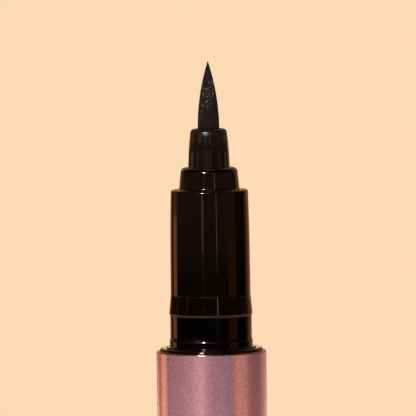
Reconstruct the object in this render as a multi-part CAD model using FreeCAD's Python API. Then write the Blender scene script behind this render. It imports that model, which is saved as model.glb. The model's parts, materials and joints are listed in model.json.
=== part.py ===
import FreeCAD
import Part
import math
import os

from FreeCAD import Vector

# Liquid eyeliner pen with a brush tip, standing upright with its cap posted on the tail.
# Millimetres. +Z runs along the pen from the cap's closed end to the brush's point.
# The origin is the centre of the cap's closed end, on which the pen stands.

# Brush: a bundle of bristles that narrows on one round arc, and the ring round its root
brush_dia = 2.18
brush_exposed = 6.78
brush_point_dia = 0.1
brush_root_overhang = 0.1
brush_ring_wall = 0.46
brush_ring_height = 2.0

# Tip holder: the cone that shows, the flange that holds it in the section, and its tail
holder_tail_wall = 0.505
holder_middle_inset = 0.075
holder_top_inset = 0.285
holder_exposed = 3.85
holder_middle_share = 0.5
holder_bulge = 22.0
holder_rounding = 0.5
holder_flange_width = 0.725
holder_flange_height = 1.0
holder_tail_length = 3.1
holder_countersink = 0.14

# Front section: the cavity for the feed, the walls round it, and the step on top
section_base_wall = 1.095
section_middle_wall = 1.055
section_top_wall = 0.96
section_length = 10.53
section_middle_share = 0.66
section_bulge = 250.0
section_rounding = 0.35
section_roof = 0.94
section_plug_wall = 1.02
section_plug_length = 12.0
step_base_wall = 0.93
step_top_wall = 0.715
step_height = 2.25
step_rounding = 0.6
step_fillet = 0.15
step_bore_rounding = 0.06

# Fitting for the cap, the same on the front section and on the tail plug
foot_width = 0.34
foot_height = 0.15
foot_rounding = 0.03
seat_ring_rise = 0.16
seat_ring_height = 0.73
seat_ramp_height = 0.35
seat_rounding = 0.5
neck_rise = 0.08
neck_length = 2.12
bead_rise = 0.17
bead_step_height = 0.22
bead_ramp_height = 1.86
bead_rounding = 0.04
bead_end_rounding = 2.0

# Barrel: the liner, which is the ink tank, its metal casing and the thin flanges at both ends
liner_wall = 1.08
casing_wall = 0.45
casing_rounding = 0.18
barrel_length = 88.0
flange_inset = 0.34
flange_height = 0.32
flange_rounding = 0.22

# Feed: the wick in its tube and the finned ink collector round them
wick_dia = 1.6
wick_point_length = 1.2
wick_setback = 0.2
feed_tube_wall = 0.28
feed_tube_setback = 0.5
collector_core_wall = 0.58
collector_base_height = 1.0
fin_count = 20
fin_thickness = 0.5
fin_slit_width = 0.4

# Ball stop below the collector, and the mixing ball in the tank
ball_stop_height = 1.2
ball_stop_hole_dia = 1.2
ball_stop_hole_count = 6
ball_dia = 4.0

# Tail plug: the insert in the tank, the stub for the cap, and the core that hollows both
tail_insert_length = 10.0
tail_wall = 1.42
tail_roof = 2.0
stub_length = 10.0
stub_end_inset = 0.115
stub_rounding = 0.8
dish_depth = 0.6

# Seal rings of the section and of the tail plug
seal_section = 0.5
seal_groove_width = 0.7
seal_groove_place = 3.0
plug_chamfer = 0.3

# Cap: casing, liner with its click ridge and ledge, inner cap with its seal, end plug and spring
cap_end_wall = 0.5
cap_end_rounding = 0.6
cap_mouth_chamfer = 0.3
click_ridge_height = 0.7
click_ridge_flat = 0.2
ledge_height = 1.0
inner_cap_wall = 0.55
inner_cap_end_wall = 0.8
inner_cap_flange_height = 1.0
inner_cap_flange_depth = 2.4
inner_cap_boss_height = 0.6
inner_seal_height = 0.5
inner_seal_inset = 0.05
inner_seal_rounding = 0.12
inner_seal_squeeze = 0.3
end_plug_height = 1.5
end_plug_spigot_height = 1.5
spring_length = 3.6
spring_wire = 0.4
spring_mean_dia = 5.6
spring_turns = 4
spring_pilot_height = 0.8

# Clearances, radial where they lie between round faces
fit_clearance = 0.02
seal_clearance = 0.01
click_clearance = 0.02
brush_clearance = 0.03
plug_clearance = 0.03
cap_clearance = 0.045
cap_mouth_clearance = 0.05
holder_flange_clearance = 0.1
collector_clearance = 0.05
collector_base_clearance = 0.3
ball_stop_clearance = 0.1
recess_clearance = 0.05
recess_room = 0.2
inner_cap_room = 0.175
inner_cap_flange_clearance = 0.08
ledge_clearance = 0.06
spring_pilot_clearance = 0.4
tip_room = 1.35
ball_rest_gap = 0.05

# How far a cutting shape runs past what it cuts
overrun = 1.0

# How much of a side the arcs at its ends may take up
arc_share = 0.98

# Radii, from the brush outwards
brush_radius = brush_dia / 2
holder_bore_radius = brush_radius + brush_clearance
brush_ring_radius = brush_radius + brush_ring_wall
ring_seat_radius = brush_ring_radius + fit_clearance
holder_radius = ring_seat_radius + holder_tail_wall
step_bore_radius = holder_radius + fit_clearance
step_base_radius = step_bore_radius + step_base_wall
step_top_radius = step_bore_radius + step_top_wall
holder_flange_radius = holder_radius + holder_flange_width
cavity_radius = holder_flange_radius + holder_flange_clearance
section_base_radius = cavity_radius + section_base_wall
section_middle_radius = cavity_radius + section_middle_wall
section_top_radius = cavity_radius + section_top_wall
seat_ring_radius = section_base_radius + seat_ring_rise
foot_radius = seat_ring_radius + foot_width
neck_radius = section_base_radius + neck_rise
bead_radius = section_base_radius + bead_rise
stub_end_radius = section_base_radius - stub_end_inset
plug_radius = cavity_radius + section_plug_wall
tank_radius = plug_radius + plug_clearance
seal_outer_radius = tank_radius - seal_clearance
seal_groove_radius = seal_outer_radius - seal_section - seal_clearance
tail_core_radius = plug_radius - tail_wall
liner_radius = tank_radius + liner_wall
casing_bore_radius = liner_radius + fit_clearance
casing_radius = casing_bore_radius + casing_wall
flange_radius = casing_radius - flange_inset
cap_bore_radius = bead_radius + cap_clearance
inner_cap_bore_radius = step_base_radius + inner_cap_room
inner_cap_radius = inner_cap_bore_radius + inner_cap_wall
ledge_radius = inner_cap_radius + ledge_clearance
inner_cap_flange_radius = cap_bore_radius - inner_cap_flange_clearance
spring_radius = spring_mean_dia / 2
spring_pilot_radius = spring_radius - spring_wire / 2 - spring_pilot_clearance

# Radii of the feed, from the wick outwards
wick_radius = wick_dia / 2
feed_tube_bore_radius = wick_radius + fit_clearance
feed_tube_radius = feed_tube_bore_radius + feed_tube_wall
collector_bore_radius = feed_tube_radius + fit_clearance
collector_core_radius = collector_bore_radius + collector_core_wall
fin_radius = cavity_radius - collector_clearance
collector_base_radius = tank_radius - collector_base_clearance
ball_stop_bore_radius = feed_tube_radius + ball_stop_clearance
ball_stop_radius = tank_radius - fit_clearance

# Heights in the cap, from its closed end to its rim
cap_liner_base = cap_end_wall + end_plug_height
spring_base = cap_liner_base + end_plug_spigot_height
inner_cap_base = spring_base + spring_length
inner_cap_floor = inner_cap_base + inner_cap_end_wall
brush_reach = step_height + holder_exposed + brush_exposed
inner_seal_top = inner_cap_floor + tip_room + brush_reach + inner_seal_squeeze
inner_cap_rim = inner_seal_top - inner_seal_height
inner_cap_flange_top = inner_cap_rim - inner_cap_flange_depth
fitting_height = seat_ring_height + seat_ramp_height + neck_length + bead_step_height + bead_ramp_height
section_height = fitting_height + section_length
cap_rim = inner_seal_top + section_height - inner_seal_squeeze
cap_liner_top = cap_rim - foot_height - cap_mouth_clearance

# Heights of the barrel, from the tail up
barrel_base = cap_rim + flange_height
barrel_top = barrel_base + barrel_length
flange_top = barrel_top + flange_height
tail_insert_top = barrel_base + tail_insert_length
dish_bottom = tail_insert_top - dish_depth
tail_groove_base = tail_insert_top - seal_groove_place
stub_end = cap_rim - stub_length

# Heights of the front
section_middle = flange_top + fitting_height + section_length * section_middle_share
section_top = flange_top + section_height
step_top = section_top + step_height
holder_middle = step_top + holder_exposed * holder_middle_share
holder_top = step_top + holder_exposed
brush_top = holder_top + brush_exposed
plug_end = flange_top - section_plug_length
section_groove_base = plug_end + seal_groove_place
cavity_top = section_top - section_roof
holder_flange_base = cavity_top - holder_flange_height
holder_tail_end = holder_flange_base - holder_tail_length
collector_base = plug_end - collector_base_height
ball_stop_base = collector_base - ball_stop_height
brush_ring_top = holder_flange_base - fit_clearance
brush_ring_base = brush_ring_top - brush_ring_height
brush_root = brush_ring_base - brush_root_overhang

# Place of the mixing ball, which rests in the conical dish on the tail plug
dish_slope = math.atan2(dish_depth, tail_core_radius)
ball_radius = ball_dia / 2
ball_centre = dish_bottom + ball_radius / math.cos(dish_slope) + ball_rest_gap


def at(radius, height, rounding=0.0):
    """A corner of an outline, with the radius that rounds it off."""
    return Vector(radius, 0, height), rounding


def through(radius, height):
    """The middle point of an arc that joins the corners before and after it."""
    return Vector(radius, 0, height), None


def wanted_reach(outline, index):
    """How far along its sides the arc of a corner would reach, which is 0 for a sharp corner."""
    corner, rounding = outline[index]
    if not rounding:
        return 0.0
    before = outline[index - 1][0]
    after = outline[(index + 1) % len(outline)][0]
    return rounding / math.tan((before - corner).getAngle(after - corner) / 2)


def allowed_reach(outline, index):
    """The wanted reach, cut down where the arcs at both ends of a side don't fit on it."""
    wanted = wanted_reach(outline, index)
    allowed = wanted
    for neighbour in (index - 1, (index + 1) % len(outline)):
        side = outline[index][0].distanceToPoint(outline[neighbour][0])
        both = wanted + wanted_reach(outline, neighbour)
        allowed = min(allowed, arc_share * side * wanted / both)
    return allowed


def rounded_corner(outline, index):
    """Start, middle and end of the arc that rounds a corner of an outline."""
    corner = outline[index][0]
    to_before = (outline[index - 1][0] - corner).normalize()
    to_after = (outline[(index + 1) % len(outline)][0] - corner).normalize()
    half_angle = to_before.getAngle(to_after) / 2
    reach = allowed_reach(outline, index)
    radius = reach * math.tan(half_angle)
    inward = (to_before + to_after).normalize()
    middle = corner + inward * (radius / math.sin(half_angle) - radius)
    return [(corner + to_before * reach, False), (middle, True), (corner + to_after * reach, False)]


def turned(outline):
    """Solid made by turning a closed outline of corners and arc points about Z."""
    path = []
    for index, (point, rounding) in enumerate(outline):
        if rounding:
            path += rounded_corner(outline, index)
        else:
            path.append((point, rounding is None))
    path.append(path[0])
    edges = []
    place = 0
    while place < len(path) - 1:
        start = path[place][0]
        following, is_arc = path[place + 1]
        if is_arc:
            end = path[place + 2][0]
            edges.append(Part.Arc(start, following, end).toShape())
            place += 2
        else:
            edges.append(Part.LineSegment(start, following).toShape())
            place += 1
    return Part.Face(Part.Wire(edges)).revolve(Vector(0, 0, 0), Vector(0, 0, 1), 360)


def cap_fitting(seat, way):
    """Foot, seat ring, neck and click bead, upward from the seat with way 1, downward with -1."""
    foot_end = seat + way * foot_height
    ring_end = seat + way * seat_ring_height
    neck_start = ring_end + way * seat_ramp_height
    neck_end = neck_start + way * neck_length
    bead_edge = neck_end + way * bead_step_height
    bead_end = bead_edge + way * bead_ramp_height
    return [
        at(foot_radius, seat),
        at(foot_radius, foot_end, foot_rounding),
        at(seat_ring_radius, foot_end),
        at(seat_ring_radius, ring_end, seat_rounding),
        at(neck_radius, neck_start),
        at(neck_radius, neck_end),
        at(bead_radius, bead_edge, bead_rounding),
        at(section_base_radius, bead_end, bead_end_rounding),
    ]


def seal_groove(base):
    """Notch for a seal ring in the outside of a plug, from its lower edge up."""
    top = base + seal_groove_width
    return [
        at(plug_radius, base),
        at(seal_groove_radius, base),
        at(seal_groove_radius, top),
        at(plug_radius, top),
    ]


def seal_ring(groove_base):
    """Round seal ring in the middle of its groove."""
    centre = Vector(0, 0, groove_base + seal_groove_width / 2)
    return Part.makeTorus(seal_outer_radius - seal_section / 2, seal_section / 2, centre)


def barrel_casing():
    """Metal sleeve, rounded at both rims."""
    return turned([
        at(casing_bore_radius, barrel_base),
        at(casing_radius, barrel_base, casing_rounding),
        at(casing_radius, barrel_top, casing_rounding),
        at(casing_bore_radius, barrel_top),
    ])


def barrel_liner():
    """Inner barrel and ink tank, with the flange that lies on the casing's upper rim."""
    return turned([
        at(tank_radius, barrel_base),
        at(liner_radius, barrel_base),
        at(liner_radius, barrel_top),
        at(flange_radius, barrel_top),
        at(flange_radius, flange_top, flange_rounding),
        at(tank_radius, flange_top),
    ])


def front_section():
    """Glossy front: plug in the tank, cap fitting, tapered section and step, bored for the feed."""
    return turned([
        at(cavity_radius, plug_end),
        at(plug_radius - plug_chamfer, plug_end),
        at(plug_radius, plug_end + plug_chamfer),
        *seal_groove(section_groove_base),
        at(plug_radius, flange_top),
        *cap_fitting(flange_top, 1),
        at(section_middle_radius, section_middle, section_bulge),
        at(section_top_radius, section_top, section_rounding),
        at(step_base_radius, section_top, step_fillet),
        at(step_top_radius, step_top, step_rounding),
        at(step_bore_radius, step_top, step_bore_rounding),
        at(step_bore_radius, cavity_top),
        at(cavity_radius, cavity_top),
    ])


def section_seal_ring():
    """Seal ring between the front section's plug and the tank."""
    return seal_ring(section_groove_base)


def tip_holder():
    """Cone round the brush, put in from behind and stopped by its flange."""
    return turned([
        at(ring_seat_radius, holder_tail_end),
        at(holder_radius, holder_tail_end),
        at(holder_radius, holder_flange_base),
        at(holder_flange_radius, holder_flange_base),
        at(holder_flange_radius, cavity_top),
        at(holder_radius, cavity_top),
        at(holder_radius, step_top),
        at(holder_radius - holder_middle_inset, holder_middle, holder_bulge),
        at(holder_radius - holder_top_inset, holder_top, holder_rounding),
        at(holder_bore_radius + holder_countersink, holder_top),
        at(holder_bore_radius, holder_top - holder_countersink),
        at(holder_bore_radius, holder_flange_base),
        at(ring_seat_radius, holder_flange_base),
    ])


def brush_tip():
    """Bristle bundle with a round-sided point and a recess for the wick in its root."""
    arc_radius = (brush_exposed ** 2 + brush_radius ** 2) / (2 * brush_radius)
    halfway = brush_exposed / 2
    halfway_radius = brush_radius - arc_radius + math.sqrt(arc_radius ** 2 - halfway ** 2)
    return turned([
        at(0, brush_root + wick_point_length + recess_room),
        at(wick_radius + recess_clearance, brush_root),
        at(brush_radius, brush_root),
        at(brush_radius, holder_top),
        through(halfway_radius, holder_top + halfway),
        at(brush_point_dia / 2, brush_top),
        at(0, brush_top),
    ])


def brush_ring():
    """Ring fused round the brush's root, seated in the tip holder's counterbore."""
    bore_radius = brush_radius + seal_clearance
    return turned([
        at(bore_radius, brush_ring_base),
        at(brush_ring_radius, brush_ring_base),
        at(brush_ring_radius, brush_ring_top),
        at(bore_radius, brush_ring_top),
    ])


def feed_wick():
    """Fibre rod with a conical point in the brush's root."""
    base = ball_stop_base + wick_setback
    return turned([
        at(0, base),
        at(wick_radius, base),
        at(wick_radius, brush_root),
        at(0, brush_root + wick_point_length),
    ])


def feed_tube():
    """Thin pipe round the wick, from the ball stop to the brush's root."""
    base = ball_stop_base + feed_tube_setback
    return turned([
        at(feed_tube_bore_radius, base),
        at(feed_tube_radius, base),
        at(feed_tube_radius, brush_root),
        at(feed_tube_bore_radius, brush_root),
    ])


def ink_collector():
    """Finned tube that holds ink between its fins, with a base that closes the section's cavity."""
    pitch = (holder_tail_end - plug_end) / fin_count
    comb = []
    for number in range(fin_count):
        fin_top = plug_end + (number + 1) * pitch
        comb += [
            at(collector_core_radius, fin_top - fin_thickness),
            at(fin_radius, fin_top - fin_thickness),
            at(fin_radius, fin_top),
            at(collector_core_radius, fin_top),
        ]
    body = turned([
        at(collector_bore_radius, collector_base),
        at(collector_base_radius, collector_base),
        at(collector_base_radius, plug_end),
        at(collector_core_radius, plug_end),
        *comb,
        at(collector_bore_radius, holder_tail_end),
    ])
    slit = Part.makeBox(
        fin_radius - collector_core_radius + overrun,
        fin_slit_width,
        holder_tail_end - plug_end + overrun,
        Vector(collector_core_radius, -fin_slit_width / 2, plug_end),
    )
    return body.cut(slit)


def ball_stop():
    """Disc with ink holes that keeps the mixing ball off the wick."""
    disc = turned([
        at(ball_stop_bore_radius, ball_stop_base),
        at(ball_stop_radius, ball_stop_base),
        at(ball_stop_radius, collector_base),
        at(ball_stop_bore_radius, collector_base),
    ])
    hole_place = Vector((ball_stop_bore_radius + ball_stop_radius) / 2, 0, ball_stop_base - overrun)
    hole = Part.makeCylinder(ball_stop_hole_dia / 2, ball_stop_height + 2 * overrun, hole_place)
    for number in range(ball_stop_hole_count):
        turned_hole = hole.copy()
        turned_hole.rotate(Vector(0, 0, 0), Vector(0, 0, 1), 360 * number / ball_stop_hole_count)
        disc = disc.cut(turned_hole)
    return disc


def mixing_ball():
    """Steel ball that stirs the ink."""
    return Part.makeSphere(ball_radius, Vector(0, 0, ball_centre))


def tail_plug():
    """Plug that closes the tank, with the flange, the stub for the cap and a hollow core."""
    core_top = dish_bottom - tail_roof
    return turned([
        at(tail_core_radius, stub_end),
        at(stub_end_radius, stub_end, stub_rounding),
        *reversed(cap_fitting(cap_rim, -1)),
        at(flange_radius, cap_rim, flange_rounding),
        at(flange_radius, barrel_base),
        at(plug_radius, barrel_base),
        *seal_groove(tail_groove_base),
        at(plug_radius, tail_insert_top - plug_chamfer),
        at(plug_radius - plug_chamfer, tail_insert_top),
        at(tail_core_radius, tail_insert_top),
        at(0, dish_bottom),
        at(0, core_top),
        at(tail_core_radius, core_top),
    ])


def tail_seal_ring():
    """Seal ring between the tail plug and the tank."""
    return seal_ring(tail_groove_base)


def cap_casing():
    """Metal cup of the cap."""
    return turned([
        at(0, 0),
        at(casing_radius, 0, cap_end_rounding),
        at(casing_radius, cap_rim, casing_rounding),
        at(casing_bore_radius, cap_rim),
        at(casing_bore_radius, cap_end_wall),
        at(0, cap_end_wall),
    ])


def cap_liner():
    """Sleeve in the cap, with the click ridge at the neck and the ledge that keeps the inner cap."""
    ridge_radius = bead_radius + click_clearance
    ridge_middle = cap_rim - seat_ring_height - seat_ramp_height - neck_length / 2
    ledge_top = inner_cap_flange_top + ledge_height
    return turned([
        at(liner_radius, cap_liner_base),
        at(liner_radius, cap_liner_top),
        at(cap_bore_radius + cap_mouth_chamfer, cap_liner_top),
        at(cap_bore_radius, cap_liner_top - cap_mouth_chamfer),
        at(cap_bore_radius, ridge_middle + click_ridge_height / 2),
        at(ridge_radius, ridge_middle + click_ridge_flat / 2),
        at(ridge_radius, ridge_middle - click_ridge_flat / 2),
        at(cap_bore_radius, ridge_middle - click_ridge_height / 2),
        at(cap_bore_radius, ledge_top),
        at(ledge_radius, ledge_top),
        at(ledge_radius, inner_cap_flange_top),
        at(cap_bore_radius, inner_cap_flange_top),
        at(cap_bore_radius, cap_liner_base),
    ])


def cap_end_plug():
    """Disc that closes the liner, with a spigot in it and a pilot that centres the spring."""
    spigot_radius = cap_bore_radius - fit_clearance
    return turned([
        at(0, cap_end_wall),
        at(liner_radius, cap_end_wall),
        at(liner_radius, cap_liner_base),
        at(spigot_radius, cap_liner_base),
        at(spigot_radius, spring_base),
        at(spring_pilot_radius, spring_base),
        at(spring_pilot_radius, spring_base + spring_pilot_height),
        at(0, spring_base + spring_pilot_height),
    ])


def inner_cap():
    """Small cup that closes over the brush, with a flange under the liner's ledge."""
    flange_base = inner_cap_flange_top - inner_cap_flange_height
    return turned([
        at(0, inner_cap_base - inner_cap_boss_height),
        at(spring_pilot_radius, inner_cap_base - inner_cap_boss_height),
        at(spring_pilot_radius, inner_cap_base),
        at(inner_cap_radius, inner_cap_base),
        at(inner_cap_radius, flange_base),
        at(inner_cap_flange_radius, flange_base),
        at(inner_cap_flange_radius, inner_cap_flange_top),
        at(inner_cap_radius, inner_cap_flange_top),
        at(inner_cap_radius, inner_cap_rim),
        at(inner_cap_bore_radius, inner_cap_rim),
        at(inner_cap_bore_radius, inner_cap_floor),
        at(0, inner_cap_floor),
    ])


def inner_cap_seal():
    """Soft ring on the inner cap's rim."""
    inside = inner_cap_bore_radius + inner_seal_inset
    outside = inner_cap_radius - inner_seal_inset
    return turned([
        at(inside, inner_cap_rim),
        at(outside, inner_cap_rim),
        at(outside, inner_seal_top, inner_seal_rounding),
        at(inside, inner_seal_top, inner_seal_rounding),
    ])


def arc_from(start, tangent_corner, end):
    """Arc between two points whose end tangents meet at the given corner."""
    chord_middle = (start + end) / 2
    half_angle = math.atan2(chord_middle.distanceToPoint(tangent_corner), start.distanceToPoint(chord_middle))
    rise_share = math.tan(half_angle / 2) / math.tan(half_angle)
    return Part.Arc(start, chord_middle + (tangent_corner - chord_middle) * rise_share, end).toShape()


def coil_path(radius, height, turns):
    """Helix up from Z 0 as pairs of arcs, a pair for each quarter turn, all tangent to each other."""
    quarters = 4 * turns
    stations = []
    for number in range(quarters + 1):
        angle = math.pi / 2 * number
        point = Vector(radius * math.cos(angle), radius * math.sin(angle), height * number / quarters)
        rise = height / (2 * math.pi * turns)
        tangent = Vector(-radius * math.sin(angle), radius * math.cos(angle), rise).normalize()
        stations.append((point, tangent))
    edges = []
    for (start, start_way), (end, end_way) in zip(stations, stations[1:]):
        step = end - start
        along = step.dot(start_way + end_way)
        spread = 2 * (1 - start_way.dot(end_way))
        reach = (math.sqrt(along ** 2 + spread * step.dot(step)) - along) / spread
        first_corner = start + start_way * reach
        second_corner = end - end_way * reach
        joint = (first_corner + second_corner) / 2
        edges.append(arc_from(start, first_corner, joint))
        edges.append(arc_from(joint, second_corner, end))
    return Part.Wire(edges)


def cap_spring():
    """Coil spring between the end plug and the inner cap."""
    wire_radius = spring_wire / 2
    path = coil_path(spring_radius, spring_length - spring_wire, spring_turns)
    way = path.Edges[0].tangentAt(path.Edges[0].FirstParameter)
    section = Part.Wire(Part.makeCircle(wire_radius, Vector(spring_radius, 0, 0), way))
    spring = path.makePipeShell([section], True, False)
    spring.translate(Vector(0, 0, spring_base + wire_radius))
    return spring


pieces = [
    barrel_casing,
    barrel_liner,
    front_section,
    section_seal_ring,
    tip_holder,
    brush_tip,
    brush_ring,
    feed_wick,
    feed_tube,
    ink_collector,
    ball_stop,
    mixing_ball,
    tail_plug,
    tail_seal_ring,
    cap_casing,
    cap_liner,
    cap_end_plug,
    inner_cap,
    inner_cap_seal,
    cap_spring,
]

os.makedirs("parts", exist_ok=True)
for piece in pieces:
    piece().exportStep(f"parts/{piece.__name__}.step")
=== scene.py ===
import json
import math
import random

import bpy
from mathutils import Matrix, Vector


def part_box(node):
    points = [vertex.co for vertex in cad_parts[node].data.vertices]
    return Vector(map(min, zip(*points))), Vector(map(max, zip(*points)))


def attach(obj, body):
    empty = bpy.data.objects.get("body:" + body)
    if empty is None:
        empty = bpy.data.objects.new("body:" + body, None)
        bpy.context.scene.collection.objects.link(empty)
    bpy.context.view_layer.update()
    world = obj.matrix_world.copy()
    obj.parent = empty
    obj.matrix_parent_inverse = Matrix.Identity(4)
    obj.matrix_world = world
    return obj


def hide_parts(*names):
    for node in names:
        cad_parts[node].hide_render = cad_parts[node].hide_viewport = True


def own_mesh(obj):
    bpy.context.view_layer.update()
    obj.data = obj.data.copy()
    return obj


# Liquid eyeliner pen with a brush tip: looks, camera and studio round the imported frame.
# Outlines are in millimetres and the scene is in metres. Azimuth 0 faces the camera, +90 is
# the camera's right.

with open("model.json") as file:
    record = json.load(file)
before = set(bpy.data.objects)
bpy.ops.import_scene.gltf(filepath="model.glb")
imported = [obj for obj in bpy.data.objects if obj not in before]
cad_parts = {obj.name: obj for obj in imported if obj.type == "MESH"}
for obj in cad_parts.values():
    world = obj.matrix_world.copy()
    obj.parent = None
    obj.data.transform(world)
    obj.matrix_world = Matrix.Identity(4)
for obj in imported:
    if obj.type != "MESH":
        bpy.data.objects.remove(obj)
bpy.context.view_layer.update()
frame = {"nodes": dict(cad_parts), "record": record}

MM = 0.001

# Which body and material slot each node has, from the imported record
BODY_OF = {
    node: body
    for body, nodes in frame["record"]["behaviour"]["bodies"].items()
    for node in nodes
}
SLOT_OF = {row["node"]: row["material_slot"] for row in frame["record"]["subparts"]}


def span(node):
    """Largest radius, lowest and highest height of a CAD node, in millimetres."""
    low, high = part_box(node)
    return high.x / MM, low.z / MM, high.z / MM


# Main sizes, taken from the frame
CASING_RADIUS, BARREL_BASE, BARREL_TOP = span("barrel_casing")
FLANGE_RADIUS, _, FLANGE_TOP = span("barrel_liner")
FOOT_RADIUS, PLUG_END, STEP_TOP = span("front_section")
HOLDER_FLANGE_RADIUS, HOLDER_TAIL_END, HOLDER_TOP = span("tip_holder")
BRUSH_RADIUS, BRUSH_ROOT, BRUSH_TOP = span("brush_tip")
BRUSH_RING_RADIUS, _, _ = span("brush_ring")
_, STUB_END, TAIL_INSERT_TOP = span("tail_plug")
_, CAP_BASE, CAP_RIM = span("cap_casing")
LINER_RADIUS, CAP_LINER_BASE, CAP_LINER_TOP = span("cap_liner")
INNER_CAP_FLANGE_RADIUS, INNER_CAP_END, INNER_CAP_RIM = span("inner_cap")
INNER_SEAL_RADIUS, _, INNER_SEAL_TOP = span("inner_cap_seal")

# Walls and clearances of the turned pieces, the same as in the part's source
FIT_CLEARANCE = 0.02
SEAL_CLEARANCE = 0.01
BRUSH_CLEARANCE = 0.03
PLUG_CLEARANCE = 0.03
CAP_CLEARANCE = 0.045
CLICK_CLEARANCE = 0.02
LEDGE_CLEARANCE = 0.06
CASING_WALL = 0.45
SECTION_TOP_INSET = 0.135
SECTION_MIDDLE_INSET = 0.04
STEP_BASE_WALL = 0.93
STEP_TOP_WALL = 0.715
HOLDER_TAIL_WALL = 0.505
PLUG_WALL = 1.02
TAIL_WALL = 1.42

# Cap fitting on the front section and on the tail's stub. Its ramp and some roundings below
# differ from the part's source by up to 0.13 mm, to catch the light as in the photograph.
FOOT_WIDTH = 0.34
FOOT_HEIGHT = 0.15
FOOT_ROUNDING = 0.03
SEAT_RING_RISE = 0.16
SEAT_RING_HEIGHT = 0.73
SEAT_RAMP_HEIGHT = 0.29
SEAT_ROUNDING = 0.5
NECK_RISE = 0.08
NECK_LENGTH = 2.18
BEAD_RISE = 0.17
BEAD_STEP_HEIGHT = 0.22
BEAD_RAMP_HEIGHT = 1.86
BEAD_ROUNDING = 0.04
BEAD_END_ROUNDING = 2.0

# Front section, its step and the tip holder
SECTION_ROUNDING = 0.22
SECTION_BULGE = 250.0
SECTION_LENGTH = 10.53
SECTION_MIDDLE_SHARE = 0.66
SECTION_ROOF = 0.94
STEP_HEIGHT = 2.25
STEP_FILLET = 0.2
STEP_ROUNDING = 0.52
STEP_BORE_ROUNDING = 0.06
HOLDER_MIDDLE_INSET = 0.075
HOLDER_TOP_INSET = 0.285
HOLDER_BULGE = 22.0
HOLDER_ROUNDING = 0.42
HOLDER_FLANGE_HEIGHT = 1.0
HOLDER_COUNTERSINK = 0.14
HOLDER_FLANGE_CLEARANCE = 0.1

# Rims and grooves of the barrel, the plugs and the cap
CASING_ROUNDING = 0.13
FLANGE_ROUNDING = 0.22
PLUG_CHAMFER = 0.3
GROOVE_WIDTH = 0.7
GROOVE_PLACE = 3.0
SEAL_SECTION = 0.5
STUB_ROUNDING = 0.8
STUB_END_INSET = 0.115
DISH_DEPTH = 0.6
TAIL_ROOF = 2.0
CAP_END_WALL = 0.5
CAP_END_ROUNDING = 0.6
CAP_MOUTH_CHAMFER = 0.3
CLICK_RIDGE_HEIGHT = 0.7
CLICK_RIDGE_FLAT = 0.2
LEDGE_HEIGHT = 1.0
INNER_CAP_WALL = 0.55
INNER_CAP_BOSS_RADIUS = 2.2
INNER_CAP_BOSS_HEIGHT = 0.6
INNER_CAP_END_WALL = 0.8
INNER_CAP_FLANGE_DEPTH = 2.4
INNER_CAP_FLANGE_HEIGHT = 1.0
INNER_SEAL_INSET = 0.05
INNER_SEAL_ROUNDING = 0.12

# Radii that several pieces share
SEAT_RING_RADIUS = FOOT_RADIUS - FOOT_WIDTH
SECTION_BASE_RADIUS = SEAT_RING_RADIUS - SEAT_RING_RISE
NECK_RADIUS = SECTION_BASE_RADIUS + NECK_RISE
BEAD_RADIUS = SECTION_BASE_RADIUS + BEAD_RISE
CAVITY_RADIUS = HOLDER_FLANGE_RADIUS + HOLDER_FLANGE_CLEARANCE
PLUG_RADIUS = CAVITY_RADIUS + PLUG_WALL
TANK_RADIUS = PLUG_RADIUS + PLUG_CLEARANCE
GROOVE_RADIUS = TANK_RADIUS - 2 * SEAL_CLEARANCE - SEAL_SECTION
CASING_BORE_RADIUS = CASING_RADIUS - CASING_WALL
RING_SEAT_RADIUS = BRUSH_RING_RADIUS + FIT_CLEARANCE
HOLDER_RADIUS = RING_SEAT_RADIUS + HOLDER_TAIL_WALL
HOLDER_BORE_RADIUS = BRUSH_RADIUS + BRUSH_CLEARANCE
STEP_BORE_RADIUS = HOLDER_RADIUS + FIT_CLEARANCE
CAP_BORE_RADIUS = BEAD_RADIUS + CAP_CLEARANCE
INNER_CAP_RADIUS = INNER_SEAL_RADIUS + INNER_SEAL_INSET
INNER_CAP_BORE_RADIUS = INNER_CAP_RADIUS - INNER_CAP_WALL
TAIL_CORE_RADIUS = PLUG_RADIUS - TAIL_WALL

# Heights that several pieces share
SECTION_TOP = STEP_TOP - STEP_HEIGHT
CAVITY_TOP = SECTION_TOP - SECTION_ROOF
INNER_CAP_FLANGE_TOP = INNER_CAP_RIM - INNER_CAP_FLANGE_DEPTH

# Turning: how finely arcs and the turn are cut up, and the share of a side that its arcs may take
TURN_STEPS = 192
ARC_STEP = math.radians(4)
ARC_LENGTH_STEP = 0.35
ARC_SHARE = 0.98


def at(radius, height, rounding=0.0):
    """A corner of an outline, with the radius that rounds it off."""
    return Vector((radius, height)), rounding


def wanted_reach(outline, index):
    """How far along its sides the arc of a corner would reach, which is 0 for a sharp corner."""
    corner, rounding = outline[index]
    if not rounding:
        return 0.0
    before = outline[index - 1][0] - corner
    after = outline[(index + 1) % len(outline)][0] - corner
    return rounding / math.tan(before.angle(after) / 2)


def allowed_reach(outline, index):
    """The wanted reach, cut down where the arcs at both ends of a side don't fit on it."""
    wanted = wanted_reach(outline, index)
    allowed = wanted
    for neighbour in (index - 1, (index + 1) % len(outline)):
        side = (outline[index][0] - outline[neighbour][0]).length
        both = wanted + wanted_reach(outline, neighbour)
        allowed = min(allowed, ARC_SHARE * side * wanted / both)
    return allowed


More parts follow.
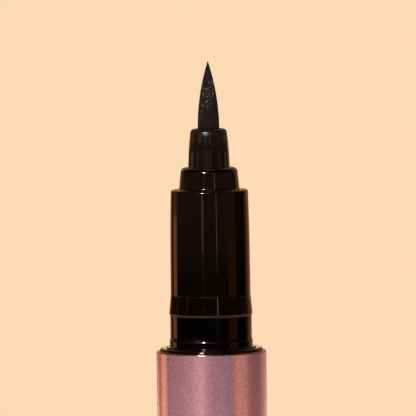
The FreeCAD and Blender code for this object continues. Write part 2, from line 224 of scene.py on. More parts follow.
def corner_points(outline, index):
    """The points of a corner's arc with their outward normals, or None for a sharp corner."""
    corner, rounding = outline[index]
    if not rounding:
        return None
    to_before = (outline[index - 1][0] - corner).normalized()
    to_after = (outline[(index + 1) % len(outline)][0] - corner).normalized()
    reach = allowed_reach(outline, index)
    half_angle = to_before.angle(to_after) / 2
    radius = reach * math.tan(half_angle)
    centre = corner + (to_before + to_after).normalized() * radius / math.sin(half_angle)
    start = corner + to_before * reach - centre
    turn = start.angle_signed(corner + to_after * reach - centre)
    steps = max(2, math.ceil(abs(turn) / ARC_STEP), math.ceil(abs(turn) * radius / ARC_LENGTH_STEP))
    # A corner that sticks out has its arc's centre inside the piece, and a hollow one outside
    outward = 1 if (-to_before).cross(to_after) > 0 else -1
    points = []
    for step in range(steps + 1):
        angle = -turn * step / steps
        arm = Matrix.Rotation(angle, 2) @ start
        points.append((centre + arm, arm.normalized() * outward))
    return points


def strips(outline):
    """An outline's sides and arcs as (point, normal, point, normal), with the piece on the left."""
    corners = [point for point, _ in outline]
    area = sum(a.cross(b) for a, b in zip(corners, corners[1:] + corners[:1]))
    if area < 0:
        outline = outline[::-1]
    runs = []
    for index, (corner, _) in enumerate(outline):
        runs.append(corner_points(outline, index) or [(corner, None)])
    found = []
    for run, following in zip(runs, runs[1:] + runs[:1]):
        found += [(a, na, b, nb) for (a, na), (b, nb) in zip(run, run[1:])]
        start, end = run[-1][0], following[0][0]
        way = (end - start).normalized()
        normal = Vector((way.y, -way.x))
        found.append((start, normal, end, normal))
    return found


def turned_mesh(name, outline):
    """Mesh made by turning an outline about Z, shaded with the outline's own normals."""
    points, faces, normals = [], [], []
    rings = {}

    def ring(point):
        key = (round(point.x, 6), round(point.y, 6))
        if key not in rings:
            rings[key] = len(points)
            count = TURN_STEPS if point.x > 0 else 1
            for step in range(count):
                angle = 2 * math.pi * step / TURN_STEPS
                place = Vector((point.x * math.cos(angle), point.x * math.sin(angle), point.y))
                points.append(place * MM)
        return rings[key], point.x > 0

    for start, start_normal, end, end_normal in strips(outline):
        if start.x <= 0 and end.x <= 0:
            continue
        (first, first_open), (last, last_open) = ring(start), ring(end)
        for step in range(TURN_STEPS):
            following = (step + 1) % TURN_STEPS
            face = [(first + step * first_open, step, start_normal)]
            if first_open:
                face.append((first + following, step + 1, start_normal))
            face.append((last + following * last_open, step + 1, end_normal))
            if last_open:
                face.append((last + step, step, end_normal))
            faces.append([corner[0] for corner in face])
            for _, place, normal in face:
                angle = 2 * math.pi * place / TURN_STEPS
                normals.append((normal.x * math.cos(angle), normal.x * math.sin(angle), normal.y))
    mesh = bpy.data.meshes.new(name)
    mesh.from_pydata(points, [], faces)
    mesh.polygons.foreach_set("use_smooth", [True] * len(faces))
    mesh.normals_split_custom_set(normals)
    return mesh


def cap_fitting(seat, way):
    """Foot, seat ring, neck and click bead, upward from the seat with way 1, downward with -1."""
    foot_end = seat + way * FOOT_HEIGHT
    ring_end = seat + way * SEAT_RING_HEIGHT
    neck_start = ring_end + way * SEAT_RAMP_HEIGHT
    neck_end = neck_start + way * NECK_LENGTH
    bead_edge = neck_end + way * BEAD_STEP_HEIGHT
    bead_end = bead_edge + way * BEAD_RAMP_HEIGHT
    return [
        at(FOOT_RADIUS, seat),
        at(FOOT_RADIUS, foot_end, FOOT_ROUNDING),
        at(SEAT_RING_RADIUS, foot_end),
        at(SEAT_RING_RADIUS, ring_end, SEAT_ROUNDING),
        at(NECK_RADIUS, neck_start),
        at(NECK_RADIUS, neck_end),
        at(BEAD_RADIUS, bead_edge, BEAD_ROUNDING),
        at(SECTION_BASE_RADIUS, bead_end, BEAD_END_ROUNDING),
    ]


def seal_groove(base):
    """Notch for a seal ring in the outside of a plug, from its lower edge up."""
    top = base + GROOVE_WIDTH
    return [
        at(PLUG_RADIUS, base),
        at(GROOVE_RADIUS, base),
        at(GROOVE_RADIUS, top),
        at(PLUG_RADIUS, top),
    ]


section_middle = SECTION_TOP - SECTION_LENGTH * (1 - SECTION_MIDDLE_SHARE)
holder_middle = (STEP_TOP + HOLDER_TOP) / 2
holder_flange_base = CAVITY_TOP - HOLDER_FLANGE_HEIGHT
dish_bottom = TAIL_INSERT_TOP - DISH_DEPTH
core_top = dish_bottom - TAIL_ROOF
ridge_middle = CAP_RIM - SEAT_RING_HEIGHT - SEAT_RAMP_HEIGHT - NECK_LENGTH / 2
ridge_radius = BEAD_RADIUS + CLICK_CLEARANCE
ledge_radius = INNER_CAP_RADIUS + LEDGE_CLEARANCE
ledge_top = INNER_CAP_FLANGE_TOP + LEDGE_HEIGHT
inner_cap_base = INNER_CAP_END + INNER_CAP_BOSS_HEIGHT
inner_cap_floor = inner_cap_base + INNER_CAP_END_WALL
inner_cap_flange_base = INNER_CAP_FLANGE_TOP - INNER_CAP_FLANGE_HEIGHT

OUTLINES = {
    "barrel_casing": [
        at(CASING_BORE_RADIUS, BARREL_BASE),
        at(CASING_RADIUS, BARREL_BASE, CASING_ROUNDING),
        at(CASING_RADIUS, BARREL_TOP, CASING_ROUNDING),
        at(CASING_BORE_RADIUS, BARREL_TOP),
    ],
    "barrel_liner": [
        at(TANK_RADIUS, BARREL_BASE),
        at(LINER_RADIUS, BARREL_BASE),
        at(LINER_RADIUS, BARREL_TOP),
        at(FLANGE_RADIUS, BARREL_TOP),
        at(FLANGE_RADIUS, FLANGE_TOP, FLANGE_ROUNDING),
        at(TANK_RADIUS, FLANGE_TOP),
    ],
    "front_section": [
        at(CAVITY_RADIUS, PLUG_END),
        at(PLUG_RADIUS - PLUG_CHAMFER, PLUG_END),
        at(PLUG_RADIUS, PLUG_END + PLUG_CHAMFER),
        *seal_groove(PLUG_END + GROOVE_PLACE),
        at(PLUG_RADIUS, FLANGE_TOP),
        *cap_fitting(FLANGE_TOP, 1),
        at(SECTION_BASE_RADIUS - SECTION_MIDDLE_INSET, section_middle, SECTION_BULGE),
        at(SECTION_BASE_RADIUS - SECTION_TOP_INSET, SECTION_TOP, SECTION_ROUNDING),
        at(STEP_BORE_RADIUS + STEP_BASE_WALL, SECTION_TOP, STEP_FILLET),
        at(STEP_BORE_RADIUS + STEP_TOP_WALL, STEP_TOP, STEP_ROUNDING),
        at(STEP_BORE_RADIUS, STEP_TOP, STEP_BORE_ROUNDING),
        at(STEP_BORE_RADIUS, CAVITY_TOP),
        at(CAVITY_RADIUS, CAVITY_TOP),
    ],
    "tip_holder": [
        at(RING_SEAT_RADIUS, HOLDER_TAIL_END),
        at(HOLDER_RADIUS, HOLDER_TAIL_END),
        at(HOLDER_RADIUS, holder_flange_base),
        at(HOLDER_FLANGE_RADIUS, holder_flange_base),
        at(HOLDER_FLANGE_RADIUS, CAVITY_TOP),
        at(HOLDER_RADIUS, CAVITY_TOP),
        at(HOLDER_RADIUS, STEP_TOP),
        at(HOLDER_RADIUS - HOLDER_MIDDLE_INSET, holder_middle, HOLDER_BULGE),
        at(HOLDER_RADIUS - HOLDER_TOP_INSET, HOLDER_TOP, HOLDER_ROUNDING),
        at(HOLDER_BORE_RADIUS + HOLDER_COUNTERSINK, HOLDER_TOP),
        at(HOLDER_BORE_RADIUS, HOLDER_TOP - HOLDER_COUNTERSINK),
        at(HOLDER_BORE_RADIUS, holder_flange_base),
        at(RING_SEAT_RADIUS, holder_flange_base),
    ],
    "tail_plug": [
        at(TAIL_CORE_RADIUS, STUB_END),
        at(SECTION_BASE_RADIUS - STUB_END_INSET, STUB_END, STUB_ROUNDING),
        *reversed(cap_fitting(CAP_RIM, -1)),
        at(FLANGE_RADIUS, CAP_RIM, FLANGE_ROUNDING),
        at(FLANGE_RADIUS, BARREL_BASE),
        at(PLUG_RADIUS, BARREL_BASE),
        *seal_groove(TAIL_INSERT_TOP - GROOVE_PLACE),
        at(PLUG_RADIUS, TAIL_INSERT_TOP - PLUG_CHAMFER),
        at(PLUG_RADIUS - PLUG_CHAMFER, TAIL_INSERT_TOP),
        at(TAIL_CORE_RADIUS, TAIL_INSERT_TOP),
        at(0, dish_bottom),
        at(0, core_top),
        at(TAIL_CORE_RADIUS, core_top),
    ],
    "cap_casing": [
        at(0, CAP_BASE),
        at(CASING_RADIUS, CAP_BASE, CAP_END_ROUNDING),
        at(CASING_RADIUS, CAP_RIM, CASING_ROUNDING),
        at(CASING_BORE_RADIUS, CAP_RIM),
        at(CASING_BORE_RADIUS, CAP_BASE + CAP_END_WALL),
        at(0, CAP_BASE + CAP_END_WALL),
    ],
    "cap_liner": [
        at(LINER_RADIUS, CAP_LINER_BASE),
        at(LINER_RADIUS, CAP_LINER_TOP),
        at(CAP_BORE_RADIUS + CAP_MOUTH_CHAMFER, CAP_LINER_TOP),
        at(CAP_BORE_RADIUS, CAP_LINER_TOP - CAP_MOUTH_CHAMFER),
        at(CAP_BORE_RADIUS, ridge_middle + CLICK_RIDGE_HEIGHT / 2),
        at(ridge_radius, ridge_middle + CLICK_RIDGE_FLAT / 2),
        at(ridge_radius, ridge_middle - CLICK_RIDGE_FLAT / 2),
        at(CAP_BORE_RADIUS, ridge_middle - CLICK_RIDGE_HEIGHT / 2),
        at(CAP_BORE_RADIUS, ledge_top),
        at(ledge_radius, ledge_top),
        at(ledge_radius, INNER_CAP_FLANGE_TOP),
        at(CAP_BORE_RADIUS, INNER_CAP_FLANGE_TOP),
        at(CAP_BORE_RADIUS, CAP_LINER_BASE),
    ],
    "inner_cap": [
        at(0, INNER_CAP_END),
        at(INNER_CAP_BOSS_RADIUS, INNER_CAP_END),
        at(INNER_CAP_BOSS_RADIUS, inner_cap_base),
        at(INNER_CAP_RADIUS, inner_cap_base),
        at(INNER_CAP_RADIUS, inner_cap_flange_base),
        at(INNER_CAP_FLANGE_RADIUS, inner_cap_flange_base),
        at(INNER_CAP_FLANGE_RADIUS, INNER_CAP_FLANGE_TOP),
        at(INNER_CAP_RADIUS, INNER_CAP_FLANGE_TOP),
        at(INNER_CAP_RADIUS, INNER_CAP_RIM),
        at(INNER_CAP_BORE_RADIUS, INNER_CAP_RIM),
        at(INNER_CAP_BORE_RADIUS, inner_cap_floor),
        at(0, inner_cap_floor),
    ],
    "inner_cap_seal": [
        at(INNER_CAP_BORE_RADIUS + INNER_SEAL_INSET, INNER_CAP_RIM),
        at(INNER_SEAL_RADIUS, INNER_CAP_RIM),
        at(INNER_SEAL_RADIUS, INNER_SEAL_TOP, INNER_SEAL_ROUNDING),
        at(INNER_CAP_BORE_RADIUS + INNER_SEAL_INSET, INNER_SEAL_TOP, INNER_SEAL_ROUNDING),
    ],
}


# Brush: a core with a round-sided point, and bristles that lie on it and end at staggered heights
BRUSH_EXPOSED = BRUSH_TOP - HOLDER_TOP
CORE_INSET = 0.045
CORE_STEPS = 24
CORE_POINT_RADIUS = 0.004
CORE_POINT_INSET = 0.12
CORE_ROOT_MARGIN = 0.3
WICK_RECESS_RADIUS = 0.85
WICK_RECESS_DEPTH = 1.4
BRISTLE_COUNT = 150
BRISTLE_RADIUS = 0.05
BRISTLE_TIP_RADIUS = 0.008
BRISTLE_SIDES = 6
BRISTLE_STEPS = 16
BRISTLE_ROOT_LENGTH = 0.6
BRISTLE_SEED = 11

# How far bristles stray: sideways in shares of their pitch, in lean in radians, in depth in
# millimetres, and in the share of the length that they may lack
BRISTLE_STRAY = 0.3
BRISTLE_LEAN = 0.12
BRISTLE_DEPTH = 0.035
BRISTLE_LACK = 0.5

# Share of a bristle's length at which it starts to taper
BRISTLE_TAPER_START = 0.55

# Edges that turn by more than this are shaded sharp
SHARP_ANGLE = math.radians(50)


def smooth_mesh(name, vertices, faces):
    """Mesh shaded smooth, but for its sharp edges."""
    mesh = bpy.data.meshes.new(name)
    mesh.from_pydata(vertices, [], faces)
    mesh.polygons.foreach_set("use_smooth", [True] * len(faces))
    mesh.set_sharp_from_angle(angle=SHARP_ANGLE)
    return mesh


def brush_radius_at(height):
    """Radius of the brush's envelope at a height above the tip holder, in millimetres."""
    arc = (BRUSH_EXPOSED ** 2 + BRUSH_RADIUS ** 2) / (2 * BRUSH_RADIUS)
    return BRUSH_RADIUS - arc + math.sqrt(arc ** 2 - max(height, 0) ** 2)


def tube(points, radii, sides, vertices, faces):
    """Adds a closed tapered tube along a line of points that runs upward."""
    base = len(vertices)
    for point, radius in zip(points, radii):
        for side in range(sides):
            angle = 2 * math.pi * side / sides
            offset = Vector((radius * math.cos(angle), radius * math.sin(angle), 0))
            vertices.append((point + offset) * MM)
    for ring in range(len(points) - 1):
        for side in range(sides):
            low = base + ring * sides
            following = (side + 1) % sides
            faces.append((low + side, low + following, low + sides + following, low + sides + side))
    faces.append(tuple(reversed(range(base, base + sides))))
    top = base + (len(points) - 1) * sides
    faces.append(tuple(range(top, top + sides)))


def bristle_mesh(name):
    """Bristles from inside the tip holder to the brush's point, each its own closed tube."""
    dice = random.Random(BRISTLE_SEED)
    vertices, faces = [], []
    for number in range(BRISTLE_COUNT):
        stray = dice.uniform(-BRISTLE_STRAY, BRISTLE_STRAY)
        azimuth = 2 * math.pi * (number + stray) / BRISTLE_COUNT
        lean = dice.uniform(-BRISTLE_LEAN, BRISTLE_LEAN)
        depth = dice.uniform(0.0, BRISTLE_DEPTH)
        length = BRUSH_EXPOSED * (1 - dice.uniform(0.0, 1.0) ** 2 * BRISTLE_LACK)
        points, radii = [], []
        for step in range(BRISTLE_STEPS + 1):
            share = step / BRISTLE_STEPS
            above = (BRISTLE_ROOT_LENGTH + length) * share - BRISTLE_ROOT_LENGTH
            taper = max(0.0, (share - BRISTLE_TAPER_START) / (1 - BRISTLE_TAPER_START))
            radius = BRISTLE_RADIUS + (BRISTLE_TIP_RADIUS - BRISTLE_RADIUS) * taper
            reach = max(0.0, brush_radius_at(above) - radius - depth * (1 - taper))
            turn = azimuth + lean * share
            x, y = reach * math.cos(turn), reach * math.sin(turn)
            points.append(Vector((x, y, HOLDER_TOP + above)))
            radii.append(radius)
        tube(points, radii, BRISTLE_SIDES, vertices, faces)
    return smooth_mesh(name, vertices, faces)


def brush_core_outline():
    """Core of the brush: its root with the wick's recess, and the envelope set in a little."""
    side = []
    for step in range(CORE_STEPS):
        height = BRUSH_EXPOSED * step / CORE_STEPS
        radius = max(brush_radius_at(height) - CORE_INSET, CORE_POINT_RADIUS)
        side.append(at(radius, HOLDER_TOP + height))
    return [
        at(0, BRUSH_ROOT + WICK_RECESS_DEPTH),
        at(WICK_RECESS_RADIUS, BRUSH_ROOT),
        at(BRUSH_RADIUS, BRUSH_ROOT),
        at(BRUSH_RADIUS, HOLDER_TOP - CORE_ROOT_MARGIN),
        *side,
        at(0, BRUSH_TOP - CORE_POINT_INSET),
    ]


# Coil spring under the inner cap
SPRING_WIRE_RADIUS = 0.2
SPRING_TURNS = 4
SPRING_TURN_STEPS = 32
SPRING_SIDES = 10


def coil_mesh(name, radius, low, high):
    """Coil of wire of an outer radius between two heights, in millimetres."""
    vertices, faces = [], []
    steps = SPRING_TURNS * SPRING_TURN_STEPS
    climb = high - low - 2 * SPRING_WIRE_RADIUS
    for step in range(steps + 1):
        turn = 2 * math.pi * step / SPRING_TURN_STEPS
        outward = Vector((math.cos(turn), math.sin(turn), 0))
        centre = outward * (radius - SPRING_WIRE_RADIUS)
        centre.z = low + SPRING_WIRE_RADIUS + climb * step / steps
        for side in range(SPRING_SIDES):
            angle = 2 * math.pi * side / SPRING_SIDES
            arm = outward * math.cos(angle) + Vector((0, 0, math.sin(angle)))
            vertices.append((centre + arm * SPRING_WIRE_RADIUS) * MM)
            if step:
                old, new = (step - 1) * SPRING_SIDES, step * SPRING_SIDES
                following = (side + 1) % SPRING_SIDES
                faces.append((old + side, new + side, new + following, old + following))
    faces.append(tuple(range(SPRING_SIDES)))
    faces.append(tuple(reversed(range(steps * SPRING_SIDES, (steps + 1) * SPRING_SIDES))))
    return smooth_mesh(name, vertices, faces)


def joined(name, parts):
    """One mesh of several, which go away."""
    vertices, faces = [], []
    for part in parts:
        base = len(vertices)
        vertices += [vertex.co.copy() for vertex in part.vertices]
        faces += [[base + corner for corner in polygon.vertices] for polygon in part.polygons]
        bpy.data.meshes.remove(part)
    return smooth_mesh(name, vertices, faces)


# Materials

# Where a noise value is taken as lowest and highest, since it hardly leaves the middle of its range
NOISE_LOW = 0.3
NOISE_HIGH = 0.7

# How many times wider than the relief's grain the lumps of a mottled colour are
MOTTLING_WIDTH = 7


class Nodes:
    """Short way to add and link shader nodes in one material or world."""

    def __init__(self, owner):
        owner.use_nodes = True
        self.tree = owner.node_tree

    def fill(self, node, inputs):
        """Gives inputs of a node each an output, a value or a colour of three numbers."""
        for key, value in inputs.items():
            socket = node.inputs[key]
            if isinstance(value, bpy.types.NodeSocket):
                self.tree.links.new(value, socket)
            else:
                socket.default_value = (*value, 1) if socket.type == "RGBA" else value

    def add(self, kind, inputs=None, **settings):
        node = self.tree.nodes.new(kind)
        for name, value in settings.items():
            setattr(node, name, value)
        self.fill(node, inputs or {})
        return node

    def place(self):
        """Place on the object, in metres."""
        return self.add("ShaderNodeTexCoord").outputs["Object"]

    def noise(self, vector, grain, detail=2.0):
        """Noise whose lumps are about grain millimetres across."""
        inputs = {"Vector": vector, "Scale": 1 / (grain * MM), "Detail": detail}
        return self.add("ShaderNodeTexNoise", inputs).outputs["Fac"]

    def mapped(self, value, low, high, first=0.0, last=1.0, **settings):
        """Goes from first to last, and no further, as the value goes from low to high."""
        inputs = {
            "Value": value, "From Min": low, "From Max": high, "To Min": first, "To Max": last
        }
        return self.add("ShaderNodeMapRange", inputs, **settings).outputs["Result"]

    def blended(self, share, first, second):
        """Goes from the first to the second, each a colour or a socket, as the share rises."""
        inputs = {"Factor": share, "A": first, "B": second}
        return self.add("ShaderNodeMix", inputs, data_type="RGBA").outputs["Result"]

    def mottled(self, noise, first, second):
        """Goes from the first colour to the second as the noise value rises."""
        return self.blended(self.mapped(noise, NOISE_LOW, NOISE_HIGH), first, second)


def surface(name, roughness, grain, bump, stretch=(1, 1, 1), metallic=0.0, ior=1.5, specular=0.5):
    """Material with a roughness that varies and a fine relief, grain and bump in millimetres.

    Gives the material, its nodes, its shader and the place that the noises share."""
    material = bpy.data.materials.new(name)
    nodes = Nodes(material)
    shader = nodes.tree.nodes["Principled BSDF"]
    mapping = nodes.add("ShaderNodeMapping", {"Vector": nodes.place(), "Scale": stretch})
    stretched = mapping.outputs["Vector"]
    fine = nodes.noise(stretched, grain)
    relief = nodes.add("ShaderNodeBump", {"Height": fine, "Distance": bump * MM, "Strength": 1.0})
    nodes.fill(shader, {
        "Roughness": nodes.mapped(fine, NOISE_LOW, NOISE_HIGH, *roughness),
        "Normal": relief.outputs["Normal"],
        "Metallic": metallic,
        "IOR": ior,
        "Specular IOR Level": specular,
    })
    return material, nodes, shader, stretched


def mottled_surface(name, first, second, roughness, grain, bump, **settings):
    """The same with a mottled colour. Gives the material, its nodes and its shader."""
    material, nodes, shader, stretched = surface(name, roughness, grain, bump, **settings)
    wide = nodes.noise(stretched, grain * MOTTLING_WIDTH)
    nodes.fill(shader, {"Base Color": nodes.mottled(wide, first, second)})
    return material, nodes, shader


# Pink metal: its roughness and relief, and faint slanted waves, grain and bump in millimetres
METAL_ROUGHNESS = (0.21, 0.222)
METAL_GRAIN = 0.12
METAL_BUMP = 0.0006
METAL_SLANT = (0, math.radians(-38), 0)
METAL_STRETCH = (1, 1, 2.5)
METAL_WAVE_GRAIN = 0.14
METAL_WAVE_BUMP = 0.0005
METAL_DARK = (0.67, 0.335, 0.365)
METAL_PALE = (0.85, 0.485, 0.515)

# How much turning grooves stretch the metal's gloss, and the share of a turn that sets it upright
METAL_GLOSS_STRETCH = 0.44
METAL_GLOSS_TURN = 0.25


def pink_metal():
    """Pink anodised aluminium with faint waves, and with grooves that spread its gloss upright."""
    material, nodes, shader, _ = surface(
        "pink_metal", METAL_ROUGHNESS, METAL_GRAIN, METAL_BUMP, metallic=1.0
    )
    slanted = nodes.add(
        "ShaderNodeMapping",
        {"Vector": nodes.place(), "Rotation": METAL_SLANT, "Scale": METAL_STRETCH},
        vector_type="TEXTURE",
    )
    waves = nodes.noise(slanted.outputs["Vector"], METAL_WAVE_GRAIN)
    relief = shader.inputs["Normal"].links[0].from_socket
    both = nodes.add(
        "ShaderNodeBump",
        {"Height": waves, "Distance": METAL_WAVE_BUMP * MM, "Strength": 1.0, "Normal": relief},
    )
    tangent = nodes.add("ShaderNodeTangent", direction_type="RADIAL", axis="Z")
    nodes.fill(shader, {
        "Base Color": nodes.mottled(waves, METAL_DARK, METAL_PALE),
        "Normal": both.outputs["Normal"],
        "Tangent": tangent.outputs["Tangent"],
        "Anisotropic": METAL_GLOSS_STRETCH,
        "Anisotropic Rotation": METAL_GLOSS_TURN,
    })
    return material


# Bristle: its colours, roughness and relief
BRISTLE_DARK = (0.0098, 0.0015, 0.0002)
BRISTLE_PALE = (0.0188, 0.0058, 0.0018)
BRISTLE_ROUGHNESS = (0.35, 0.5)
BRISTLE_GRAIN = 0.12
BRISTLE_BUMP = 0.008
BRISTLE_SPECULAR = 0.2

# Painted glints on the brush: light-grey specks in its colour that stand in for the small bright
# light's highlights on the bristles' ends. Their size and tone, and the noise values between which
# they fade in. Above the tip holder, in millimetres: where they start and are at their thickest, on
# a line that falls by GLINT_SLOPE towards the left, the side that light comes from, and where they
# fade out towards the point.
GLINT_SIZE = 0.14
PAINTED_GLINT_TONE = (0.15, 0.115, 0.12)
GLINT_NOISE = (0.61, 0.67)
GLINT_START = 1.6
GLINT_FULL = 3.2
GLINT_SLOPE = 1.2
GLINT_FADE = 5.2
GLINT_END = 6.6


def bristle_with_painted_glints():
    """Ink-wet bristle, smooth near the tip holder, with painted glints towards the point."""
    material, nodes, shader = mottled_surface(
        "bristle",
        BRISTLE_DARK,
        BRISTLE_PALE,
        BRISTLE_ROUGHNESS,
        BRISTLE_GRAIN,
        BRISTLE_BUMP,
        specular=BRISTLE_SPECULAR,
    )
    place = nodes.place()
    slanted = {0: place, 1: (-GLINT_SLOPE, 0, 1)}
    rise = nodes.add("ShaderNodeVectorMath", slanted, operation="DOT_PRODUCT")
    low, high = (HOLDER_TOP + GLINT_START) * MM, (HOLDER_TOP + GLINT_FULL) * MM
    depth = nodes.mapped(rise.outputs["Value"], low, high)
    specks = nodes.mapped(nodes.noise(place, GLINT_SIZE, detail=0.0), *GLINT_NOISE)
    height = nodes.add("ShaderNodeSeparateXYZ", {0: place}).outputs["Z"]
    low, high = (HOLDER_TOP + GLINT_FADE) * MM, (HOLDER_TOP + GLINT_END) * MM
    fade = nodes.mapped(height, low, high, 1.0, 0.0)
    grown = nodes.add("ShaderNodeMath", {0: depth, 1: fade}, operation="MULTIPLY").outputs[0]
    share = nodes.add("ShaderNodeMath", {0: grown, 1: specks}, operation="MULTIPLY").outputs[0]
    bare = shader.inputs["Base Color"].links[0].from_socket
    # Painted glints: light-grey specks mixed into the base colour where the small bright light
    # would catch the bristles, more on the left and fading out towards the point
    nodes.fill(shader, {"Base Color": nodes.blended(share, bare, PAINTED_GLINT_TONE)})
    return material


# Tip holder: its colours, roughness and relief, and how far below its top its gloss starts to dull
# and is dullest, in millimetres
BLACK_IOR = 1.6
HOLDER_DARK = (0.004, 0.002, 0.0015)
HOLDER_PALE = (0.006, 0.003, 0.0025)
HOLDER_ROUGHNESS = (0.07, 0.085)
HOLDER_GRAIN = 0.5
HOLDER_BUMP = 0.0003
RIM_DULL_START = 0.75
RIM_DULL_FULL = 0.36
RIM_ROUGHNESS = 0.3


def tip_holder_black():
    """Gloss black of the tip holder, which the ink has dulled along its rim."""
    material, nodes, shader = mottled_surface(
        "tip_holder_black",
        HOLDER_DARK,
        HOLDER_PALE,
        HOLDER_ROUGHNESS,
        HOLDER_GRAIN,
        HOLDER_BUMP,
        ior=BLACK_IOR,
        specular=1.0,
    )
    height = nodes.add("ShaderNodeSeparateXYZ", {0: nodes.place()}).outputs["Z"]
    low, high = (HOLDER_TOP - RIM_DULL_START) * MM, (HOLDER_TOP - RIM_DULL_FULL) * MM
    polished = shader.inputs["Roughness"].links[0].from_socket
    nodes.fill(shader, {"Roughness": nodes.mapped(height, low, high, polished, RIM_ROUGHNESS)})
    return material


MATERIALS = {
    "pink_metal": pink_metal(),
    "tip_holder_black": tip_holder_black(),
    "bristle": bristle_with_painted_glints(),
}

# Plain finishes: two colours, least and most roughness, grain and bump in millimetres, and extras
for name, first, second, roughness, grain, bump, settings in (
    (
        "gloss_black", (0.0009, 0.0006, 0.0003), (0.0014, 0.0009, 0.0005), (0.03, 0.06),
        0.9, 0.0003, {"ior": BLACK_IOR, "specular": 1.0},
    ),
    ("ring_plastic", (0.026, 0.026, 0.026), (0.034, 0.034, 0.034), (0.5, 0.65), 0.2, 0.004, {}),
    (
        "wick_fibre", (0.03, 0.026, 0.022), (0.05, 0.044, 0.038), (0.7, 0.9),
        0.06, 0.02, {"stretch": (1, 1, 0.05)},
    ),
    (
        "tube_plastic", (0.73, 0.73, 0.71), (0.77, 0.77, 0.75), (0.2, 0.3),
        0.4, 0.001, {"stretch": (1, 1, 0.1)},
    ),
    ("collector_plastic", (0.53, 0.53, 0.52), (0.57, 0.57, 0.56), (0.4, 0.5), 0.15, 0.002, {}),
    (
        "ball_steel", (0.75, 0.75, 0.75), (0.79, 0.79, 0.78), (0.08, 0.14),
        0.3, 0.0004, {"metallic": 1.0},
    ),
    ("seal_rubber", (0.018, 0.018, 0.018), (0.024, 0.024, 0.023), (0.55, 0.75), 0.08, 0.003, {}),
    ("cap_liner_black", (0.013, 0.011, 0.01), (0.017, 0.015, 0.014), (0.18, 0.28), 0.6, 0.0008, {}),
    ("inner_cap_plastic", (0.70, 0.69, 0.67), (0.74, 0.73, 0.71), (0.35, 0.45), 0.4, 0.001, {}),
    (
        "spring_steel", (0.56, 0.56, 0.56), (0.64, 0.64, 0.63), (0.2, 0.32),
        0.1, 0.001, {"metallic": 1.0},
    ),
):
    MATERIALS[name] = mottled_surface(name, first, second, roughness, grain, bump, **settings)[0]


def new_object(name, data):
    """An object with a mesh, lamp or camera, in the scene."""
    added = bpy.data.objects.new(name, data)
    bpy.context.scene.collection.objects.link(added)
    return added


def add_piece(name, mesh, node):
    """A finished piece that stands for a CAD node and rides on its body."""
    piece = new_object(name, mesh)
    slot = SLOT_OF[node]
    mesh.materials.append(MATERIALS[slot])
    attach(piece, BODY_OF[node])
    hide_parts(node)
    return piece


for node, outline in OUTLINES.items():
    add_piece(node + "_turned", turned_mesh(node + "_turned", outline), node)

brush_parts = [turned_mesh("brush_core", brush_core_outline()), bristle_mesh("brush_bristles")]
add_piece("brush_tip_bristles", joined("brush_tip_bristles", brush_parts), "brush_tip")

# Coil spring under the inner cap, which pushes down on it; the coil is built at one length, with a
# mesh of its own
spring_radius, spring_base, spring_top = span("cap_spring")
coil = coil_mesh("cap_spring_coil", spring_radius, spring_base, spring_top)
spring = add_piece("cap_spring_coil", coil, "cap_spring")
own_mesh(spring)

for node, carried in frame["nodes"].items():
    if node in OUTLINES or node in ("brush_tip", "cap_spring"):
        continue
    carried.data.materials.clear()
    carried.data.materials.append(MATERIALS[SLOT_OF[node]])


# Camera: where the picture's centre lies, how far the camera stands and how it leans
PICTURE_CENTRE = Vector((-0.000155, 0, 0.14054))
CAMERA_DISTANCE = 0.6
CAMERA_ELEVATION = math.radians(3.45)
CAMERA_ROLL = math.radians(0.74)
PICTURE_WIDTH = 0.0416
SENSOR_WIDTH = 36.0

camera = bpy.data.cameras.new("camera")
camera.sensor_width = SENSOR_WIDTH
camera.lens = SENSOR_WIDTH * CAMERA_DISTANCE / PICTURE_WIDTH
eye = new_object("camera", camera)
back = Vector((0, -math.cos(CAMERA_ELEVATION), math.sin(CAMERA_ELEVATION)))
across = Vector((1, 0, 0))
up = back.cross(across)
right = across * math.cos(CAMERA_ROLL) - up * math.sin(CAMERA_ROLL)
top = across * math.sin(CAMERA_ROLL) + up * math.cos(CAMERA_ROLL)
facing = Matrix((right, top, back)).transposed().to_4x4()
eye.matrix_world = Matrix.Translation(PICTURE_CENTRE + back * CAMERA_DISTANCE) @ facing
bpy.context.scene.camera = eye
bpy.context.scene.view_settings.view_transform = "Standard"

# Studio: its background and daylight, how far away its walls are in metres, and the greatest size
# of their faces in degrees
BACKGROUND = (0.975, 0.705, 0.47)
DAYLIGHT = 0.6
STUDIO_CENTRE = Vector((0, 0, 0.14))
WALL_RADIUS = 1.5
WALL_STEP = 3


def heading(azimuth, elevation):
    """Direction from the object to a place in the studio, from angles in degrees."""
    a, e = math.radians(azimuth), math.radians(elevation)
    return Vector((math.sin(a) * math.cos(e), -math.cos(a) * math.cos(e), math.sin(e)))


def seen_share(nodes):
    """1 for the rays that show the background: camera, glossy and transmission rays."""
    rays = nodes.add("ShaderNodeLightPath").outputs
    share = rays["Is Camera Ray"]
    for kind in ("Is Glossy Ray", "Is Transmission Ray"):
        either = nodes.add("ShaderNodeMath", {0: share, 1: rays[kind]}, operation="MAXIMUM")
        share = either.outputs[0]
    return share


world = bpy.data.worlds.new("studio")
bpy.context.scene.world = world
nodes = Nodes(world)
nodes.tree.nodes.clear()
plain = nodes.add("ShaderNodeBackground", {"Color": (1, 1, 1), "Strength": DAYLIGHT})
shown = nodes.add("ShaderNodeBackground", {"Color": BACKGROUND, "Strength": 1.0})
blend = {0: seen_share(nodes), 1: plain.outputs[0], 2: shown.outputs[0]}
mix = nodes.add("ShaderNodeMixShader", blend)
nodes.add("ShaderNodeOutputWorld", {"Surface": mix.outputs[0]})


def level(elevation):
    """Edge of a wall at the same elevation all round."""
    return lambda azimuth: elevation


def mirrored(lean, view):
    """Edge of a wall along the line that a side of the pen mirrors which leans back by lean
    degrees, or forward where that is negative, and is seen from view degrees above."""
    rise = 2 * math.sin(math.radians(lean))
    drop = math.sin(math.radians(view))

    def edge(azimuth):
        return math.degrees(math.asin(max(-1, rise * math.cos(math.radians(azimuth / 2)) - drop)))

    return edge


